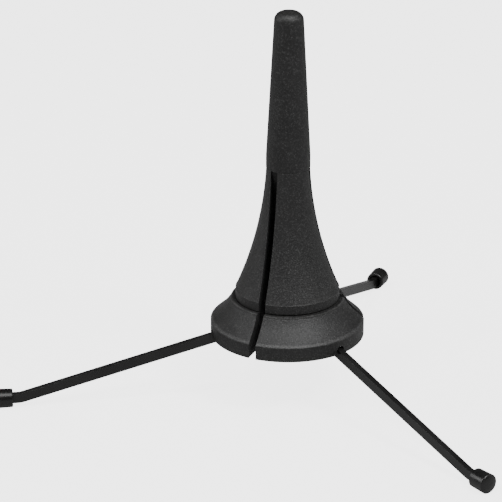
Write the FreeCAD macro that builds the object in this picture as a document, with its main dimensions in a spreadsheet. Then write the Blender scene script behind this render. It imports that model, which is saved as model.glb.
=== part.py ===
"""Folding peg stand for a clarinet or flute, as a parametric FreeCAD document.

Millimetres, +Z up.  The origin is on the peg's axis, at the foot of the short cylindrical band that
carries the instrument's bell.  Each leg is drawn in its own frame, with +X outwards along the leg, and
turned about Z into place.  A leg hinges inside the base on its own side.  It swings down, under the
base and up on the far side, where it lies in a slot.  The three swing planes miss the axis by the same
amount, like the sails of a pinwheel, so the three straight legs pass each other inside the body.
"""
import FreeCAD
import Part
import Sketcher
import math
import os

SIZES = {
    # flange and rim
    "rim_bottom": -20.6, "rim_radius": 40.0, "rim_height": 7.6, "rim_bevel": 0.5,
    "shoulder_radius": 38.3, "shoulder_rise": 9.2, "ogee_curve": 35.0,
    "flange_top_radius": 28.6, "flange_top_drop": 0.6, "groove_radius": 26.45,
    "bead_width": 0.8, "bead_fall": 0.2, "bead_step": 0.25,
    # bell seat, flare and neck
    "seat_radius": 27.0, "seat_length": 4.8, "flare_foot_radius": 26.85, "flare_curve": 190.0,
    "neck_radius": 11.25, "neck_height": 70.9,
    # inside of the flared body
    "wall_thickness": 2.6, "hollow_top": 36.4, "hollow_top_radius": 13.4, "well_radius": 17.0,
    "pad_rise": 12.5, "pad_depth": 12.0, "cheek_thickness": 1.2,
    # spigot and upper peg
    "spigot_radius": 6.5, "spigot_length": 20.0, "spigot_clearance": 0.05,
    "peg_foot_radius": 11.38, "peg_foot_height": 6.7, "peg_foot_chamfer": 0.25,
    "peg_shoulder_radius": 7.55, "peg_shoulder_height": 148.4,
    "peg_tip_curve": 4.6, "peg_crown_radius": 3.4, "peg_crown_height": 153.0, "peg_height": 153.4,
    # legs
    "first_leg_turn": -51.7, "leg_offset": 3.4, "leg_thickness": 3.2, "leg_depth": 5.0,
    "leg_slope": 15.7, "rim_crossing": 39.9, "pivot_reach": 12.8, "eye_radius": 3.2,
    "bend_curve": 12.0, "leg_end_reach": 151.0, "foot_axis_height": -48.8,
    "stow_lean": 18.0, "slot_width": 4.0, "slot_floor_neck": 9.3, "slot_room": 0.6, "kink_height": 37.4,
    # rim notches
    "notch_half_width": 2.4, "notch_spring": 2.15,
    # rubber feet
    "cap_start": 144.2, "cap_length": 10.0, "cap_mouth_radius": 4.85, "cap_end_radius": 5.1,
    "cap_chamfer": 0.4, "cap_dome": 0.9, "cap_recess_radius": 3.4, "cap_recess_depth": 2.6,
    # hinges
    "pin_radius": 1.25, "pin_fit": 0.05, "pin_head_radius": 1.9, "pin_head_height": 0.6,
    "washer_radius": 2.6, "washer_thickness": 0.4, "cheek_gap": 2.1, "bracket_sheet": 1.5,
    "bracket_eye": 2.4, "plate_start": 15.5, "plate_length": 10.0, "plate_width": 19.0,
    # fasteners
    "screw_spread": 6.6, "screw_radius": 1.5, "screw_length": 9.5, "screw_head_radius": 2.4,
    "screw_head_height": 1.8, "tie_seat": 56.4, "tie_radius": 2.0, "tie_length": 45.0,
    "tie_head_radius": 3.5, "tie_head_height": 2.6, "tie_washer_radius": 3.8, "tie_washer_thickness": 0.8,
    "tie_hole_radius": 2.25, "tie_well_radius": 4.0, "recess_depth": 1.2, "recess_width": 0.9,
    "spigot_end_gap": 0.5, "tie_end_gap": 2.0,
    # small inner details of the moulding
    "rim_ceiling_drop": 1.4, "flange_sheet": 2.0, "pad_margin": 0.5, "pad_end_margin": 1.5,
    "notch_inner_reach": 3.0,
}
LEGS = (1, 2, 3)
LEG_SPACING = 360.0 / len(LEGS)
OVERSHOOT = 1.0  # how far a cutting tool runs past the face it cuts
ARC_EASE = 0.001  # keeps the radius of a half-round end just over half its chord
RECESS_SPAN = 0.75  # half length of a driver slot, as a share of the screw head's radius

doc = FreeCAD.newDocument("peg_stand")
sheet = doc.addObject("Spreadsheet::Sheet", "Sizes")


class Size:
    """A length or angle that knows both its number and its spreadsheet expression."""

    def __init__(self, value, text):
        self.value = value
        self.text = text

    def __add__(self, other):
        other = as_size(other)
        return Size(self.value + other.value, f"({self.text} + {other.text})")

    def __radd__(self, other):
        return as_size(other) + self

    def __sub__(self, other):
        other = as_size(other)
        return Size(self.value - other.value, f"({self.text} - {other.text})")

    def __rsub__(self, other):
        return as_size(other) - self

    def __mul__(self, other):
        other = as_size(other)
        return Size(self.value * other.value, f"({self.text} * {other.text})")

    def __rmul__(self, other):
        return as_size(other) * self

    def __truediv__(self, other):
        other = as_size(other)
        return Size(self.value / other.value, f"({self.text} / {other.text})")

    def __neg__(self):
        return 0.0 - self


def as_size(value):
    return value if isinstance(value, Size) else Size(float(value), f"({float(value)!r})")


def sin(angle):
    return Size(math.sin(math.radians(angle.value)), f"sin({angle.text})")


def cos(angle):
    return Size(math.cos(math.radians(angle.value)), f"cos({angle.text})")


def tan(angle):
    return Size(math.tan(math.radians(angle.value)), f"tan({angle.text})")


def fill_sheet():
    for row, (alias, value) in enumerate(SIZES.items(), start=1):
        sheet.set(f"A{row}", alias)
        sheet.set(f"B{row}", str(value))
        sheet.setAlias(f"B{row}", alias)
    doc.recompute()
    return {alias: Size(value, f"Sizes.{alias}") for alias, value in SIZES.items()}


D = fill_sheet()

# Worked-out places, all from the sheet.
pivot_z = D["rim_bottom"] + (D["rim_crossing"] - D["pivot_reach"]) * tan(D["leg_slope"])
neck_z = D["neck_height"]
half_depth = D["leg_depth"] / 2
half_slot = D["slot_width"] / 2
plate_top = D["rim_bottom"] + D["pad_rise"]
plate_bottom = plate_top - D["bracket_sheet"]
plate_end = D["plate_start"] + D["plate_length"]
cap_end = D["cap_start"] + D["cap_length"]


def bind(item, prop, size):
    item.setExpression(prop, as_size(size).text)


def leg_turn(leg):
    return D["first_leg_turn"] + LEG_SPACING * (leg - 1)


def turn_about_z(item, leg):
    """Turn an item from the leg's own frame to that leg's place round the axis."""
    item.Placement = FreeCAD.Placement(FreeCAD.Vector(), FreeCAD.Rotation(FreeCAD.Vector(0, 0, 1), 1.0))
    bind(item, "Placement.Rotation.Angle", leg_turn(leg))


def place_for_leg(item, leg, x, y, z):
    """Put a primitive at x, y, z of the leg's own frame."""
    turn_about_z(item, leg)
    angle = leg_turn(leg)
    bind(item, "Placement.Base.x", x * cos(angle) - y * sin(angle))
    bind(item, "Placement.Base.y", x * sin(angle) + y * cos(angle))
    bind(item, "Placement.Base.z", z)


def new_body(label):
    body = doc.addObject("PartDesign::Body", label)
    body.Label = label
    return body


def new_sketch(body, name, aside=0.0, raised=0.0, along=0.0, role="XZ_Plane"):
    """A sketch on the body's XZ or YZ plane, moved aside along +Y, raised along +Z, or along +X."""
    sketch = body.newObject("Sketcher::SketchObject", name)
    plane = [item for item in body.Origin.OriginFeatures if item.Role == role][0]
    sketch.AttachmentSupport = [(plane, "")]
    sketch.MapMode = "FlatFace"
    if role == "XZ_Plane":
        bind(sketch, "AttachmentOffset.Base.x", along)
        bind(sketch, "AttachmentOffset.Base.z", -as_size(aside))
    else:
        bind(sketch, "AttachmentOffset.Base.x", aside)
        bind(sketch, "AttachmentOffset.Base.z", along)
    bind(sketch, "AttachmentOffset.Base.y", raised)
    return sketch


def arc_middle(start, end, radius, side):
    """The middle point of the short arc from start to end; side +1 bulges to the left of the chord."""
    chord = end - start
    rise = radius - math.sqrt(radius * radius - chord.Length * chord.Length / 4)
    left = FreeCAD.Vector(-chord.y, chord.x, 0).normalize()
    return (start + end) / 2 + left * rise * side


def outline(sketch, corners, arcs=None):
    """A closed outline through corners.  arcs maps an edge's number to its radius and bulge side."""
    arcs = arcs or {}
    corners = [(as_size(x), as_size(y)) for x, y in corners]
    points = [FreeCAD.Vector(x.value, y.value, 0) for x, y in corners]
    edges = []
    for number, start in enumerate(points):
        end = points[(number + 1) % len(points)]
        if number in arcs:
            radius, side = arcs[number]
            curve = Part.Arc(start, arc_middle(start, end, as_size(radius).value, side), end)
        else:
            curve = Part.LineSegment(start, end)
        edge = sketch.addGeometry(curve, False)
        starts_here = (sketch.getPoint(edge, 1) - start).Length < (sketch.getPoint(edge, 2) - start).Length
        edges.append((edge, 1, 2) if starts_here else (edge, 2, 1))
    for number, (edge, first, last) in enumerate(edges):
        following, following_first, _ = edges[(number + 1) % len(edges)]
        sketch.addConstraint(sketcher_join(edge, last, following, following_first))
        for kind, size in zip(("DistanceX", "DistanceY"), corners[number]):
            index = sketch.addConstraint(sketcher_distance(kind, edge, first, size.value))
            sketch.setExpression(f"Constraints[{index}]", size.text)
        if number in arcs:
            radius = as_size(arcs[number][0])
            index = sketch.addConstraint(Sketcher.Constraint("Radius", edge, radius.value))
            sketch.setExpression(f"Constraints[{index}]", radius.text)


def sketcher_join(edge, end, following, start):
    return Sketcher.Constraint("Coincident", edge, end, following, start)


def sketcher_distance(kind, edge, end, value):
    return Sketcher.Constraint(kind, -1, 1, edge, end, value)


def circle(sketch, x, y, radius):
    x, y, radius = as_size(x), as_size(y), as_size(radius)
    centre = FreeCAD.Vector(x.value, y.value, 0)
    edge = sketch.addGeometry(Part.Circle(centre, FreeCAD.Vector(0, 0, 1), radius.value), False)
    for kind, size in (("DistanceX", x), ("DistanceY", y)):
        index = sketch.addConstraint(sketcher_distance(kind, edge, 3, size.value))
        sketch.setExpression(f"Constraints[{index}]", size.text)
    index = sketch.addConstraint(Sketcher.Constraint("Radius", edge, radius.value))
    sketch.setExpression(f"Constraints[{index}]", radius.text)


def revolve(body, sketch, name, axis="V_Axis"):
    feature = body.newObject("PartDesign::Revolution", name)
    feature.Profile = sketch
    feature.ReferenceAxis = (sketch, [axis])
    feature.Angle = 360.0
    return feature


def pad(body, sketch, name, width):
    """A pad of the given width, half on each side of the sketch."""
    feature = body.newObject("PartDesign::Pad", name)
    feature.Profile = sketch
    feature.Midplane = True
    bind(feature, "Length", width)
    return feature


def pocket(body, sketch, name, width):
    feature = body.newObject("PartDesign::Pocket", name)
    feature.Profile = sketch
    feature.Midplane = True
    bind(feature, "Length", width)
    return feature


def box(name, leg, low, high):
    """A Part box between two corners of the leg's own frame."""
    item = doc.addObject("Part::Box", name)
    for prop, start, end in zip(("Length", "Width", "Height"), low, high):
        bind(item, prop, as_size(end) - as_size(start))
    place_for_leg(item, leg, as_size(low[0]), as_size(low[1]), as_size(low[2]))
    return item


def cylinder(name, radius, height, z, leg=None, x=0.0, y=0.0):
    item = doc.addObject("Part::Cylinder", name)
    bind(item, "Radius", radius)
    bind(item, "Height", height)
    if leg is None:
        bind(item, "Placement.Base.z", z)
    else:
        place_for_leg(item, leg, as_size(x), as_size(y), as_size(z))
    return item


def fuse(name, items):
    item = doc.addObject("Part::MultiFuse", name)
    item.Shapes = items
    return item


def common(name, first, second):
    item = doc.addObject("Part::MultiCommon", name)
    item.Shapes = [first, second]
    return item


def cut(name, base, tool):
    item = doc.addObject("Part::Cut", name)
    item.Base = base
    item.Tool = tool
    return item


def flared_outline():
    """Corners and arcs of the body's outside, from the rim's foot up to the neck."""
    bottom = D["rim_bottom"]
    rim_top = bottom + D["rim_height"]
    bead_edge = D["flange_top_radius"] + D["bead_width"]
    bead_top = -D["flange_top_drop"] - D["bead_fall"]
    corners = [
        (D["rim_radius"], bottom),
        (D["rim_radius"], rim_top),
        (D["rim_radius"] - D["rim_bevel"], rim_top + D["rim_bevel"]),
        (D["shoulder_radius"], bottom + D["shoulder_rise"]),
        (bead_edge, bead_top - D["bead_step"]),
        (bead_edge, bead_top),
        (D["flange_top_radius"], -D["flange_top_drop"]),
        (D["groove_radius"], -D["flange_top_drop"]),
        (D["groove_radius"], 0.0),
        (D["seat_radius"], 0.0),
        (D["seat_radius"], D["seat_length"]),
        (D["flare_foot_radius"], D["seat_length"]),
        (D["neck_radius"], neck_z),
    ]
    arcs = {3: (D["ogee_curve"], 1), 11: (D["flare_curve"], 1)}
    return corners, arcs


def make_solid_envelope():
    """The flared body's outer form, solid, with its spigot."""
    body = new_body("outer_form")
    sketch = new_sketch(body, "outer_form_section")
    corners, arcs = flared_outline()
    spigot_top = neck_z + D["spigot_length"]
    corners += [(D["spigot_radius"], neck_z), (D["spigot_radius"], spigot_top), (0.0, spigot_top)]
    corners.append((0.0, D["rim_bottom"]))
    outline(sketch, corners, arcs)
    revolve(body, sketch, "outer_form_turned")
    return body


def make_hollow():
    """What is taken out of the flared body: the space under the flange and up inside the flare."""
    body = new_body("hollow_form")
    sketch = new_sketch(body, "hollow_form_section")
    bottom = D["rim_bottom"]
    wall = D["wall_thickness"]
    corners = [
        (0.0, bottom - OVERSHOOT),
        (D["rim_radius"] - wall, bottom - OVERSHOOT),
        (D["rim_radius"] - wall, bottom + D["rim_height"] - D["rim_ceiling_drop"]),
        (D["flange_top_radius"] - D["flange_sheet"], -D["flange_top_drop"] - D["flange_sheet"]),
        (D["seat_radius"] - wall, -D["flange_top_drop"]),
        (D["seat_radius"] - wall, D["seat_length"]),
        (D["hollow_top_radius"], D["hollow_top"]),
        (0.0, D["hollow_top"]),
    ]
    outline(sketch, corners, {5: (D["flare_curve"], 1)})
    revolve(body, sketch, "hollow_form_turned")
    return body


def make_slot_tool(leg):
    """The slot that one leg swings through: everything on the far side of its stowed inner edge."""
    body = new_body(f"slot_form_{leg}")
    sketch = new_sketch(body, f"slot_form_section_{leg}", aside=D["leg_offset"])
    lean = D["stow_lean"]
    far = D["rim_radius"] + OVERSHOOT
    low = D["rim_bottom"] - OVERSHOOT

    def inner_edge(z):
        along = half_depth / cos(lean) + D["slot_room"]
        return D["pivot_reach"] - (z - pivot_z) * tan(lean) + along

    corners = [
        (-far, low),
        (inner_edge(pivot_z), low),
        (inner_edge(pivot_z), pivot_z),
        (inner_edge(D["kink_height"]), D["kink_height"]),
        (-D["slot_floor_neck"], neck_z),
        (-far, neck_z),
    ]
    outline(sketch, corners)
    pad(body, sketch, f"slot_form_pad_{leg}", D["slot_width"])
    turn_about_z(body, leg)
    return body


def make_notch_tool(leg):
    """The arched notch in the rim's lower edge that a leg in use bears up against."""
    body = new_body(f"notch_form_{leg}")
    middle = D["rim_radius"] - D["wall_thickness"] / 2
    sketch = new_sketch(body, f"notch_form_section_{leg}", D["leg_offset"], along=middle, role="YZ_Plane")
    half = D["notch_half_width"]
    low = D["rim_bottom"] - OVERSHOOT
    spring = D["rim_bottom"] + D["notch_spring"]
    outline(sketch, [(-half, low), (half, low), (half, spring), (-half, spring)], {2: (half + ARC_EASE, -1)})
    pad(body, sketch, f"notch_form_pad_{leg}", D["wall_thickness"] + 2 * D["notch_inner_reach"])
    turn_about_z(body, leg)
    return body


def screw_places():
    """The two bracket screws in a leg's own frame."""
    middle = (D["plate_start"] + plate_end) / 2
    return [(middle, D["leg_offset"] - D["screw_spread"]), (middle, D["leg_offset"] + D["screw_spread"])]


def make_flared_body():
    """The one-piece moulding: flange, flare, slot cheeks, bracket pads and spigot."""
    envelope = make_solid_envelope()
    shell = cut("thin_walled_form", envelope, make_hollow())
    inner = []
    for leg in LEGS:
        reach = half_slot + D["cheek_thickness"]
        inner.append(box(f"slot_cheeks_{leg}", leg,
                         (-D["rim_radius"], D["leg_offset"] - reach, D["rim_bottom"]),
                         (-half_slot, D["leg_offset"] + reach, neck_z)))
    underside = D["rim_bottom"] - OVERSHOOT
    well = cylinder("mechanism_well", D["well_radius"], D["pad_rise"] + OVERSHOOT, underside)
    cheeks = cut("cheeks_clear_of_well", fuse("all_slot_cheeks", inner), well)
    pads = []
    for leg in LEGS:
        half = D["plate_width"] / 2 + D["pad_margin"]
        low = (D["plate_start"] - D["pad_margin"], D["leg_offset"] - half, plate_top)
        high = (plate_end + D["pad_end_margin"], D["leg_offset"] + half, plate_top + D["pad_depth"])
        pads.append(box(f"bracket_pad_{leg}", leg, low, high))
    ribs = common("ribs_inside_form", fuse("all_ribs", [cheeks] + pads), envelope)
    whole = fuse("body_before_cuts", [shell, ribs])
    tools = [cylinder("tie_well", D["tie_well_radius"], D["tie_seat"] - underside, underside)]
    tools.append(cylinder("tie_hole", D["tie_hole_radius"], neck_z, D["tie_seat"] - OVERSHOOT))
    for leg in LEGS:
        tools.append(make_slot_tool(leg))
        tools.append(make_notch_tool(leg))
        for number, (x, y) in enumerate(screw_places(), start=1):
            tools.append(cylinder(f"pilot_hole_{leg}_{number}", D["screw_radius"],
                                  D["screw_length"] + OVERSHOOT, plate_bottom, leg, x, y))
    return cut("flared_body", whole, fuse("all_cuts", tools))


def make_upper_peg():
    """The slim upper peg: a capped sleeve on the spigot, with a short straight band at its foot."""
    body = new_body("upper_peg")
    sketch = new_sketch(body, "upper_peg_section")
    chamfer = D["peg_foot_chamfer"]
    bore = D["spigot_radius"] + D["spigot_clearance"]
    bore_top = neck_z + D["spigot_length"] + D["spigot_end_gap"]
    tie_top = D["tie_seat"] + D["tie_length"] + D["tie_end_gap"]
    corners = [
        (bore, neck_z),
        (D["peg_foot_radius"] - chamfer, neck_z),
        (D["peg_foot_radius"], neck_z + chamfer),
        (D["peg_foot_radius"], neck_z + D["peg_foot_height"]),
        (D["peg_shoulder_radius"], D["peg_shoulder_height"]),
        (D["peg_crown_radius"], D["peg_crown_height"]),
        (0.0, D["peg_height"]),
        (0.0, tie_top),
        (D["tie_radius"], tie_top),
        (D["tie_radius"], bore_top),
        (bore, bore_top),
    ]
    outline(sketch, corners, {4: (D["peg_tip_curve"], -1)})
    revolve(body, sketch, "upper_peg_turned")
    return body


def make_tie_screw():
    """The long pan-head screw that pulls the upper peg down on the spigot."""
    shank_base = D["tie_seat"] - D["tie_washer_thickness"]
    head_base = shank_base - D["tie_head_height"]
    head = cylinder("tie_head", D["tie_head_radius"], D["tie_head_height"], head_base)
    shank = cylinder("tie_shank", D["tie_radius"], D["tie_length"] + D["tie_washer_thickness"], shank_base)
    recess = doc.addObject("Part::Box", "tie_recess")
    half_span = D["tie_head_radius"] * RECESS_SPAN
    bind(recess, "Length", 2 * half_span)
    bind(recess, "Width", D["recess_width"])
    bind(recess, "Height", D["recess_depth"])
    bind(recess, "Placement.Base.x", -half_span)
    bind(recess, "Placement.Base.y", -(D["recess_width"] / 2))
    bind(recess, "Placement.Base.z", head_base)
    screw = cut("peg_tie_screw", fuse("tie_blank", [head, shank]), recess)
    ring = cylinder("tie_ring", D["tie_washer_radius"], D["tie_washer_thickness"], shank_base)
    hole = cylinder("tie_ring_hole", D["tie_radius"] + D["pin_fit"], D["tie_washer_thickness"], shank_base)
    washer = cut("peg_tie_washer", ring, hole)
    return [screw, washer]


def make_bracket(leg):
    """The folded steel bracket whose two cheeks carry one hinge pin."""
    label = f"leg_bracket_{leg}"
    body = new_body(label)
    aside = D["leg_offset"]
    eye = D["bracket_eye"]
    reach = D["pivot_reach"]
    cheeks = new_sketch(body, f"{label}_cheek_outline", aside)
    corners = [(reach - eye, pivot_z), (reach + eye, pivot_z), (plate_end, plate_bottom),
               (plate_end, plate_top), (reach - eye, plate_top)]
    outline(cheeks, corners, {0: (eye + ARC_EASE, -1)})
    pad(body, cheeks, f"{label}_cheeks", 2 * (D["cheek_gap"] + D["bracket_sheet"]))
    plate = new_sketch(body, f"{label}_plate_outline", aside)
    outline(plate, [(D["plate_start"], plate_bottom), (plate_end, plate_bottom),
                    (plate_end, plate_top), (D["plate_start"], plate_top)])
    pad(body, plate, f"{label}_plate", D["plate_width"])
    gap = new_sketch(body, f"{label}_gap_outline", aside)
    before = reach - eye - OVERSHOOT
    beyond = plate_end + OVERSHOOT
    low = pivot_z - eye - OVERSHOOT
    high = plate_top + OVERSHOOT
    outline(gap, [(before, low), (beyond, low), (beyond, plate_bottom),
                  (D["plate_start"], plate_bottom), (D["plate_start"], high), (before, high)])
    pocket(body, gap, f"{label}_gap", 2 * D["cheek_gap"])
    hole = new_sketch(body, f"{label}_pin_hole", aside)
    circle(hole, reach, pivot_z, D["pin_radius"])
    pocket(body, hole, f"{label}_pin_bore", D["plate_width"])
    turn_about_z(body, leg)
    holes = []
    for number, (x, y) in enumerate(screw_places(), start=1):
        holes.append(cylinder(f"bracket_hole_{leg}_{number}", D["screw_radius"] + D["pin_fit"],
                              D["bracket_sheet"] + 2 * OVERSHOOT, plate_bottom - OVERSHOOT, leg, x, y))
    result = cut(f"drilled_{label}", body, fuse(f"bracket_holes_{leg}", holes))
    body.Label = f"{label}_blank"
    result.Label = label
    return result


def make_bracket_screws(leg):
    """The two slotted pan-head screws that hold one bracket."""
    screws = []
    for number, (x, y) in enumerate(screw_places(), start=1):
        name = f"{leg}_{number}"
        head_base = plate_bottom - D["screw_head_height"]
        head = cylinder(f"screw_head_{name}", D["screw_head_radius"], D["screw_head_height"], head_base,
                        leg, x, y)
        shank = cylinder(f"screw_shank_{name}", D["screw_radius"], D["screw_length"], plate_bottom, leg, x, y)
        half_span = D["screw_head_radius"] * RECESS_SPAN
        half_width = D["recess_width"] / 2
        slot = box(f"screw_slot_{name}", leg, (x - half_span, y - half_width, head_base),
                   (x + half_span, y + half_width, head_base + D["recess_depth"]))
        screws.append(cut(f"screw_{name}", fuse(f"screw_blank_{name}", [head, shank]), slot))
    pair = doc.addObject("Part::Compound", f"bracket_screws_{leg}")
    pair.Links = screws
    return pair


def make_pin(leg):
    """The riveted hinge pin through both bracket cheeks and the leg's eye."""
    label = f"hinge_pin_{leg}"
    body = new_body(label)
    across = 2 * (D["cheek_gap"] + D["bracket_sheet"])
    shank = new_sketch(body, f"{label}_shank_outline", D["leg_offset"])
    circle(shank, D["pivot_reach"], pivot_z, D["pin_radius"])
    pad(body, shank, f"{label}_shank", across)
    head = new_sketch(body, f"{label}_head_outline", D["leg_offset"])
    circle(head, D["pivot_reach"], pivot_z, D["pin_head_radius"])
    pad(body, head, f"{label}_heads", across + 2 * D["pin_head_height"])
    waist = new_sketch(body, f"{label}_waist_outline", D["leg_offset"])
    circle(waist, D["pivot_reach"], pivot_z, D["pin_head_radius"] + OVERSHOOT)
    circle(waist, D["pivot_reach"], pivot_z, D["pin_radius"])
    pocket(body, waist, f"{label}_waist", across)
    turn_about_z(body, leg)
    return body


def make_washers(leg):
    """The two thin nylon washers that rub on the leg's eye and hold it where it is put."""
    washers = []
    for number, side in enumerate((-1, 1), start=1):
        body = new_body(f"washer_{leg}_{number}")
        middle = (D["leg_thickness"] / 2 + D["cheek_gap"]) / 2
        sketch = new_sketch(body, f"washer_outline_{leg}_{number}", D["leg_offset"] + side * middle)
        circle(sketch, D["pivot_reach"], pivot_z, D["washer_radius"])
        circle(sketch, D["pivot_reach"], pivot_z, D["pin_radius"] + D["pin_fit"])
        pad(body, sketch, f"washer_pad_{leg}_{number}", D["washer_thickness"])
        turn_about_z(body, leg)
        washers.append(body)
    pair = doc.addObject("Part::Compound", f"friction_washers_{leg}")
    pair.Links = washers
    return pair


def make_leg(leg):
    """One flat steel leg: an eye on the pin, a long straight bar and a level end for the foot."""
    label = f"leg_{leg}"
    body = new_body(label)
    slope = D["leg_slope"]
    foot_z = D["foot_axis_height"]
    bend_start = D["rim_crossing"] + (D["rim_bottom"] - foot_z) / tan(slope)
    level_x = bend_start + D["bend_curve"] * tan(slope / 2)
    outer = D["bend_curve"] + half_depth
    inner = D["bend_curve"] - half_depth
    centre_z = foot_z + D["bend_curve"]
    reach = D["pivot_reach"]
    corners = [
        (reach - half_depth * sin(slope), pivot_z - half_depth * cos(slope)),
        (level_x - outer * sin(slope), centre_z - outer * cos(slope)),
        (level_x, foot_z - half_depth),
        (D["leg_end_reach"], foot_z - half_depth),
        (D["leg_end_reach"], foot_z + half_depth),
        (level_x, foot_z + half_depth),
        (level_x - inner * sin(slope), centre_z - inner * cos(slope)),
        (reach + half_depth * sin(slope), pivot_z + half_depth * cos(slope)),
    ]
    bar = new_sketch(body, f"{label}_bar_outline", D["leg_offset"])
    outline(bar, corners, {1: (outer, -1), 5: (inner, 1)})
    pad(body, bar, f"{label}_bar", D["leg_thickness"])
    eye = new_sketch(body, f"{label}_eye_outline", D["leg_offset"])
    circle(eye, reach, pivot_z, D["eye_radius"])
    pad(body, eye, f"{label}_eye", D["leg_thickness"])
    bore = new_sketch(body, f"{label}_bore_outline", D["leg_offset"])
    circle(bore, reach, pivot_z, D["pin_radius"] + D["pin_fit"])
    pocket(body, bore, f"{label}_bore", 2 * D["leg_thickness"])
    turn_about_z(body, leg)
    return body


def make_cap(leg):
    """One round rubber foot, pushed on the level end of a leg, with a domed end and an open mouth."""
    label = f"foot_cap_{leg}"
    body = new_body(label)
    start = D["cap_start"]
    chamfer = D["cap_chamfer"]
    mouth = D["cap_mouth_radius"]
    big = D["cap_end_radius"]
    dome_foot = big - chamfer
    dome_radius = (dome_foot * dome_foot + D["cap_dome"] * D["cap_dome"]) / (2 * D["cap_dome"])
    recess_end = start + D["cap_recess_depth"]
    section = new_sketch(body, f"{label}_section", D["leg_offset"], D["foot_axis_height"])
    corners = [
        (start, D["cap_recess_radius"]),
        (start, mouth - chamfer),
        (start + chamfer, mouth),
        (cap_end - 2 * chamfer, big),
        (cap_end - chamfer, dome_foot),
        (cap_end + D["cap_dome"] - chamfer, 0.0),
        (recess_end, 0.0),
        (recess_end, D["cap_recess_radius"]),
    ]
    outline(section, corners, {3: (2 * chamfer, 1), 4: (dome_radius, 1)})
    revolve(body, section, f"{label}_turned", "H_Axis")
    sleeve = new_sketch(body, f"{label}_sleeve_outline", D["leg_offset"], D["foot_axis_height"])
    outline(sleeve, [(start, -half_depth), (D["leg_end_reach"], -half_depth),
                     (D["leg_end_reach"], half_depth), (start, half_depth)])
    pocket(body, sleeve, f"{label}_sleeve", D["leg_thickness"])
    turn_about_z(body, leg)
    return body


def check_document(items):
    for item in doc.Objects:
        if "Invalid" in item.State or "Error" in item.State:
            raise RuntimeError(f"{item.Label} failed: {item.State}")
    for item in items:
        shape = item.Shape
        if shape.isNull() or not shape.isValid() or not shape.Solids:
            raise RuntimeError(f"{item.Label} has no valid solid")
        print(f"{item.Label}: {len(shape.Solids)} solid(s), {shape.Volume / 1000:.3f} cm3")


parts = [make_flared_body(), make_upper_peg()] + make_tie_screw()
for leg_number in LEGS:
    parts.append(make_bracket(leg_number))
    parts.append(make_bracket_screws(leg_number))
    parts.append(make_pin(leg_number))
    parts.append(make_washers(leg_number))
    parts.append(make_leg(leg_number))
    parts.append(make_cap(leg_number))
doc.recompute()
check_document(parts)
os.makedirs("parts", exist_ok=True)
for part in parts:
    part.Shape.exportStep(f"parts/{part.Label}.step")
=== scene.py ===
"""Looks and picture of a folding woodwind peg stand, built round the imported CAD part.

Metres, in the part's own frame: +Z up, origin on the peg's axis at the foot of the bell seat.
"""

import math

import bpy
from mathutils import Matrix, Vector

MM = 0.001

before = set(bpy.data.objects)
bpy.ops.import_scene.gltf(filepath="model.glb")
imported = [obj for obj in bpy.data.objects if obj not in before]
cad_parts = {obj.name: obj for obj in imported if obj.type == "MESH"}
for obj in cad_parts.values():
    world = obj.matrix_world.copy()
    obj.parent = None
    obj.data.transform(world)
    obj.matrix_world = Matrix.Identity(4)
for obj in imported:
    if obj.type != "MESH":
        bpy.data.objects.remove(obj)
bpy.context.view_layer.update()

# ---------------------------------------------------------------- camera

CAMERA_DISTANCE = 1.2337
CAMERA_HEIGHT = 0.5226
CAMERA_PITCH_DOWN = 21.992
CAMERA_TURN_LEFT = 0.879
CAMERA_LENS = 184.8
CAMERA_SENSOR = 36.0


def make_camera():
    data = bpy.data.cameras.new("camera")
    data.lens = CAMERA_LENS
    data.sensor_width = CAMERA_SENSOR
    data.clip_start = 0.01
    data.clip_end = 50.0
    data.dof.use_dof = False
    camera = bpy.data.objects.new("camera", data)
    camera.location = (0.0, -CAMERA_DISTANCE, CAMERA_HEIGHT)
    camera.rotation_euler = (math.radians(90.0 - CAMERA_PITCH_DOWN), 0.0, math.radians(CAMERA_TURN_LEFT))
    bpy.context.scene.collection.objects.link(camera)
    bpy.context.scene.camera = camera


make_camera()

# ---------------------------------------------------------------- material building blocks

FLAT_ENOUGH, SHARP_ENOUGH = 0.985, 0.80  # eased against true normal: no wear, full wear
OPEN_ENOUGH, DEEP_ENOUGH = 0.62, 0.30  # share of the sky seen: an open surface, the depth of a slot
RING_CORE = 0.35  # the part of a highlight ring's reach where the painted highlight is full
RING_RELIEF = 1.4  # height of the bump under a painted highlight ring, in grain depths


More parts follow.
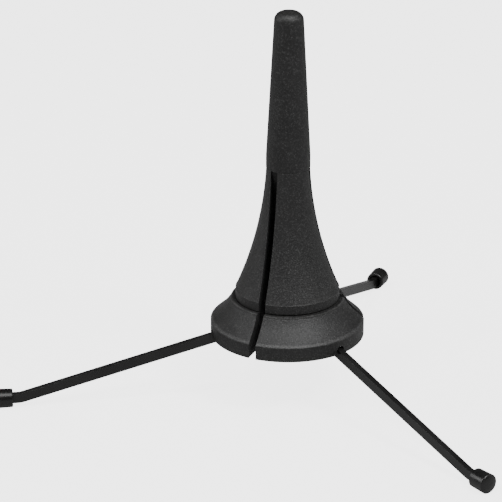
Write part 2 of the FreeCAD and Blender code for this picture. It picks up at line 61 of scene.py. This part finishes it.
class Shader:
    """A principled material whose sockets are fed from small procedural networks."""

    def __init__(self, name):
        self.material = bpy.data.materials.new(name)
        self.material.use_nodes = True
        self.tree = self.material.node_tree
        self.principled = self.tree.nodes["Principled BSDF"]
        coordinates = self.tree.nodes.new("ShaderNodeTexCoord")
        self.place = coordinates.outputs["Object"]

    def feed(self, socket, value):
        if isinstance(value, bpy.types.NodeSocket):
            self.tree.links.new(value, socket)
        else:
            socket.default_value = value

    def set(self, **values):
        for name, value in values.items():
            self.feed(self.principled.inputs[name.replace("_", " ")], value)

    def stretched(self, factors):
        node = self.tree.nodes.new("ShaderNodeMapping")
        node.inputs["Scale"].default_value = factors
        self.feed(node.inputs["Vector"], self.place)
        return node.outputs["Vector"]

    def noise(self, size, detail=3.0, roughness=0.55, place=None, offset=0.0):
        """Soft noise whose features are about `size` metres across."""
        node = self.tree.nodes.new("ShaderNodeTexNoise")
        node.noise_dimensions = "4D"
        node.inputs["W"].default_value = offset
        node.inputs["Scale"].default_value = 1.0 / size
        node.inputs["Detail"].default_value = detail
        node.inputs["Roughness"].default_value = roughness
        self.feed(node.inputs["Vector"], self.place if place is None else place)
        return node.outputs["Fac"]

    def grain(self, size):
        """Small rounded cells, as on a spark-eroded mould."""
        node = self.tree.nodes.new("ShaderNodeTexVoronoi")
        node.feature = "SMOOTH_F1"
        node.inputs["Scale"].default_value = 1.0 / size
        node.inputs["Smoothness"].default_value = 0.6
        self.feed(node.inputs["Vector"], self.place)
        return node.outputs["Distance"]

    def remap(self, value, low, high, to_low=0.0, to_high=1.0):
        node = self.tree.nodes.new("ShaderNodeMapRange")
        node.clamp = True
        self.feed(node.inputs["Value"], value)
        node.inputs["From Min"].default_value = low
        node.inputs["From Max"].default_value = high
        node.inputs["To Min"].default_value = to_low
        node.inputs["To Max"].default_value = to_high
        return node.outputs["Result"]

    def math(self, operation, first, second):
        node = self.tree.nodes.new("ShaderNodeMath")
        node.operation = operation
        self.feed(node.inputs[0], first)
        self.feed(node.inputs[1], second)
        return node.outputs["Value"]

    def mix(self, factor, first, second):
        node = self.tree.nodes.new("ShaderNodeMix")
        node.data_type = "RGBA"
        self.feed(node.inputs["Factor"], factor)
        self.feed(node.inputs[6], first)
        self.feed(node.inputs[7], second)
        return node.outputs[2]

    def rounded(self, radius):
        """The normal with its sharp edges eased over the given radius."""
        node = self.tree.nodes.new("ShaderNodeBevel")
        node.samples = 6
        node.inputs["Radius"].default_value = radius
        return node.outputs["Normal"]

    def bump(self, height, depth, strength=1.0, normal=None):
        node = self.tree.nodes.new("ShaderNodeBump")
        node.inputs["Strength"].default_value = strength
        node.inputs["Distance"].default_value = depth
        self.feed(node.inputs["Height"], height)
        if normal is not None:
            self.feed(node.inputs["Normal"], normal)
        return node.outputs["Normal"]

    def edge_wear(self, radius):
        """About 1 on an edge and 0 on a flat: how far the eased normal leaves the true one."""
        geometry = self.tree.nodes.new("ShaderNodeNewGeometry")
        node = self.tree.nodes.new("ShaderNodeVectorMath")
        node.operation = "DOT_PRODUCT"
        self.feed(node.inputs[0], self.rounded(radius))
        self.feed(node.inputs[1], geometry.outputs["Normal"])
        return self.remap(node.outputs["Value"], FLAT_ENOUGH, SHARP_ENOUGH)


    def hidden(self, reach):
        """About 1 deep in a slot and 0 on open surfaces."""
        node = self.tree.nodes.new("ShaderNodeAmbientOcclusion")
        node.samples = 8
        node.inputs["Distance"].default_value = reach
        return self.remap(node.outputs["AO"], OPEN_ENOUGH, DEEP_ENOUGH)

    def near_ring(self, radius, height, reach):
        """1 on a ring round the object's own Z axis, falling to 0 at `reach` from it."""
        apart = self.tree.nodes.new("ShaderNodeSeparateXYZ")
        self.feed(apart.inputs["Vector"], self.place)
        flat = self.tree.nodes.new("ShaderNodeCombineXYZ")
        self.feed(flat.inputs["X"], apart.outputs["X"])
        self.feed(flat.inputs["Y"], apart.outputs["Y"])
        length = self.tree.nodes.new("ShaderNodeVectorMath")
        length.operation = "LENGTH"
        self.feed(length.inputs[0], flat.outputs["Vector"])
        across = self.math("SUBTRACT", length.outputs["Value"], radius)
        above = self.math("SUBTRACT", apart.outputs["Z"], height)
        squares = self.math("ADD", self.math("MULTIPLY", across, across), self.math("MULTIPLY", above, above))
        return self.remap(self.math("SQRT", squares, 0.0), reach, RING_CORE * reach)


def grey(value, warm=0.0):
    return (value * (1.0 + warm), value, value * (1.0 - warm), 1.0)


def moulded_plastic(name, base, grain_size, grain_depth, roughness, offset, highlight_rings=()):
    """Fine-grained matte black ABS: a faint mottle, dust in the grain, painted shade in the slots and painted
    highlight rings.

    Each of highlight_rings is a ring's radius, its height and how far its painted highlight reaches.
    """
    s = Shader(name)
    mottle = s.noise(9 * MM, detail=4.0, offset=offset)
    cloud = s.noise(34 * MM, detail=2.0, offset=offset + 3.0)
    speck = s.noise(0.75 * MM, detail=3.0, roughness=0.75, offset=offset + 6.0)
    cells = s.grain(grain_size)
    colour = s.mix(s.remap(mottle, 0.35, 0.68), grey(base * 0.82), grey(base * 1.16, 0.01))
    colour = s.mix(s.remap(speck, 0.52, 0.66), colour, grey(base * 4.4))
    wear_and_highlight = s.math("MULTIPLY", s.edge_wear(0.45 * MM), s.remap(speck, 0.36, 0.56, 0.1, 0.6))
    height = s.math("ADD", s.math("MULTIPLY", cells, 1.4), s.math("MULTIPLY", speck, 1.6))
    # Painted highlight on each ring, in patches, over a small bump.
    for radius, level, reach in highlight_rings:
        ring = s.near_ring(radius, level, reach)
        patchy = s.math("MULTIPLY", s.remap(speck, 0.40, 0.62, 0.1, 1.0),
                        s.remap(mottle, 0.36, 0.6, 0.3, 0.85))
        wear_and_highlight = s.math("MAXIMUM", wear_and_highlight, s.math("MULTIPLY", ring, patchy))
        height = s.math("ADD", height, s.math("MULTIPLY", ring, RING_RELIEF))
    # Lighter edges: wear on sharp edges and the painted highlight on the rings.
    colour = s.mix(wear_and_highlight, colour, grey(base * 7.5))
    # Painted shade: darker and rougher the more a slot is enclosed.
    deep = s.hidden(7 * MM)
    colour = s.mix(deep, colour, grey(base * 0.10))
    rough = s.math("ADD", s.remap(cloud, 0.3, 0.7, roughness - 0.05, roughness + 0.05),
                   s.remap(speck, 0.35, 0.7, -0.04, 0.05))
    rough = s.math("ADD", rough, s.math("MULTIPLY", deep, 0.45))
    normal = s.bump(height, grain_depth, normal=s.rounded(0.3 * MM))
    s.set(Base_Color=colour, Roughness=rough, Normal=normal, IOR=1.5)
    s.principled.inputs["Specular IOR Level"].default_value = 0.42
    return s.material


def painted_steel(name):
    """Black satin powder coat: soft orange peel, a fine roughness variation, thinner on its edges."""
    s = Shader(name)
    peel = s.noise(1.3 * MM, detail=2.0, offset=1.0)
    haze = s.noise(22 * MM, detail=3.0, offset=2.0)
    fine = s.noise(0.35 * MM, detail=1.0, offset=4.0)
    colour = s.mix(s.remap(haze, 0.35, 0.65), grey(0.0055), grey(0.0105, 0.01))
    colour = s.mix(s.math("MULTIPLY", s.edge_wear(0.3 * MM), s.remap(haze, 0.4, 0.65, 0.15, 0.6)),
                   colour, grey(0.030))
    rough = s.math("ADD", s.remap(haze, 0.3, 0.7, 0.25, 0.34), s.remap(fine, 0.4, 0.7, -0.02, 0.04))
    height = s.math("ADD", peel, s.math("MULTIPLY", fine, 0.3))
    s.set(Base_Color=colour, Roughness=rough, IOR=1.5,
          Normal=s.bump(height, 0.03 * MM, normal=s.rounded(0.35 * MM)))
    return s.material


def moulded_rubber(name):
    """Black rubber with dust in its pores."""
    s = Shader(name)
    pores = s.noise(0.5 * MM, detail=3.0, roughness=0.7, offset=1.0)
    dust = s.noise(3.2 * MM, detail=4.0, offset=5.0)
    colour = s.mix(s.remap(dust, 0.40, 0.70), grey(0.0050), grey(0.0110, 0.02))
    colour = s.mix(s.remap(pores, 0.62, 0.75, 0.0, 0.6), colour, grey(0.022, 0.02))
    rough = s.math("ADD", s.remap(dust, 0.35, 0.65, 0.22, 0.36), s.remap(pores, 0.4, 0.7, -0.05, 0.05))
    s.set(Base_Color=colour, Roughness=rough, IOR=1.5,
          Normal=s.bump(pores, 0.04 * MM, normal=s.rounded(0.35 * MM)))
    return s.material


def plated_steel(name, tint, roughness):
    """Black-plated or drawn steel, with a fine lay of scratches and a patchy bloom."""
    s = Shader(name)
    lay = s.noise(0.6 * MM, detail=3.0, place=s.stretched((1.0, 6.0, 6.0)), offset=2.0)
    bloom = s.noise(2.5 * MM, detail=4.0, offset=7.0)
    colour = s.mix(s.remap(bloom, 0.35, 0.7), tint, tuple(0.72 * c for c in tint[:3]) + (1.0,))
    rough = s.math("ADD", s.remap(bloom, 0.3, 0.7, roughness - 0.06, roughness + 0.08),
                   s.remap(lay, 0.3, 0.7, -0.04, 0.05))
    s.set(Base_Color=colour, Metallic=1.0, Roughness=rough,
          Normal=s.bump(lay, 0.02 * MM, normal=s.rounded(0.15 * MM)))
    return s.material


def black_nylon(name):
    s = Shader(name)
    clouding = s.noise(1.5 * MM, detail=3.0)
    fine = s.noise(0.3 * MM, detail=2.0, offset=3.0)
    colour = s.mix(s.remap(clouding, 0.3, 0.7), grey(0.022), grey(0.034))
    s.set(Base_Color=colour, Roughness=s.remap(fine, 0.3, 0.7, 0.38, 0.52),
          Normal=s.bump(fine, 0.02 * MM, normal=s.rounded(0.1 * MM)))
    return s.material


# Rings given a painted highlight and a small bump: the rim's top edge and the seat's bead.
RIM_EDGE = (39.2 * MM, -12.4 * MM, 1.3 * MM)
SEAT_BEAD = (29.0 * MM, -0.8 * MM, 0.8 * MM)

MATERIALS = {
    "flared_body": moulded_plastic("flare_black_abs", 0.0122, 0.55 * MM, 0.09 * MM, 0.50, 0.0,
                                   highlight_rings=(RIM_EDGE, SEAT_BEAD)),
    "upper_peg": moulded_plastic("peg_black_abs", 0.0108, 0.50 * MM, 0.10 * MM, 0.48, 11.0),
    "leg": painted_steel("leg_black_paint"),
    "foot_cap": moulded_rubber("cap_black_rubber"),
    "leg_bracket": plated_steel("bracket_black_zinc", (0.075, 0.075, 0.080, 1.0), 0.40),
    "bracket_screws": plated_steel("screw_black_zinc", (0.085, 0.085, 0.088, 1.0), 0.34),
    "peg_tie_screw": plated_steel("tie_screw_black_zinc", (0.085, 0.085, 0.088, 1.0), 0.34),
    "peg_tie_washer": plated_steel("tie_washer_black_zinc", (0.080, 0.080, 0.084, 1.0), 0.38),
    "hinge_pin": plated_steel("pin_drawn_steel", (0.30, 0.30, 0.30, 1.0), 0.28),
    "friction_washers": black_nylon("washer_nylon"),
}


def dress(node_name, node):
    """Gives a CAD node the material of its kind: the node's name without its leg number."""
    kind = node_name.rstrip("_123") if node_name not in MATERIALS else node_name
    node.data.materials.clear()
    node.data.materials.append(MATERIALS[kind])


for node_name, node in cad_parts.items():
    dress(node_name, node)

# ---------------------------------------------------------------- floor and light

FLOOR_HEIGHT = -53.9 * MM
FLOOR_SIZE = 30.0
FLOOR_GLOW = 3.4


def make_floor():
    """A plain white floor.  It glows for the camera only, so it looks white without lighting the stand."""
    bpy.ops.mesh.primitive_plane_add(size=FLOOR_SIZE, location=(0.0, 0.0, FLOOR_HEIGHT))
    floor = bpy.context.object
    floor.name = "floor"
    s = Shader("pale_floor")
    faint = s.noise(0.4, detail=2.0)
    seen = s.tree.nodes.new("ShaderNodeLightPath").outputs["Is Camera Ray"]
    s.set(Base_Color=s.mix(faint, grey(0.36), grey(0.40)), Roughness=0.95,
          Emission_Color=grey(1.0), Emission_Strength=s.math("MULTIPLY", seen, FLOOR_GLOW))
    s.principled.inputs["Specular IOR Level"].default_value = 0.1
    floor.data.materials.append(s.material)


def area_light(name, place, target, width, power):
    data = bpy.data.lights.new(name, "AREA")
    data.shape = "SQUARE"
    data.size = width
    data.energy = power
    light = bpy.data.objects.new(name, data)
    light.location = place
    light.rotation_euler = (Vector(target) - Vector(place)).to_track_quat("-Z", "Y").to_euler()
    bpy.context.scene.collection.objects.link(light)


def make_world(strength):
    world = bpy.data.worlds.new("studio")
    world.use_nodes = True
    background = world.node_tree.nodes["Background"]
    background.inputs["Color"].default_value = (1.0, 1.0, 1.0, 1.0)
    background.inputs["Strength"].default_value = strength
    bpy.context.scene.world = world


WORLD_STRENGTH = 0.10
STAND_FOOT = (0.0, 0.0, 0.0)
STAND_MIDDLE = (0.0, 0.0, 50 * MM)
LIGHTS = (  # name, place, target, width, power in watts
    ("key_right", (0.95, -0.95, 1.75), STAND_MIDDLE, 0.45, 28.0),
    ("key_left", (-0.95, -0.80, 1.75), STAND_MIDDLE, 0.45, 21.0),
    ("side_left", (-1.9, 0.1, 0.9), STAND_MIDDLE, 0.9, 10.0),
    ("side_right", (1.9, 0.2, 0.8), STAND_MIDDLE, 0.9, 5.0),
    ("top_front", (0.5, -0.85, 2.0), STAND_FOOT, 1.2, 22.0),
)

make_floor()
make_world(WORLD_STRENGTH)
for light_values in LIGHTS:
    area_light(*light_values)
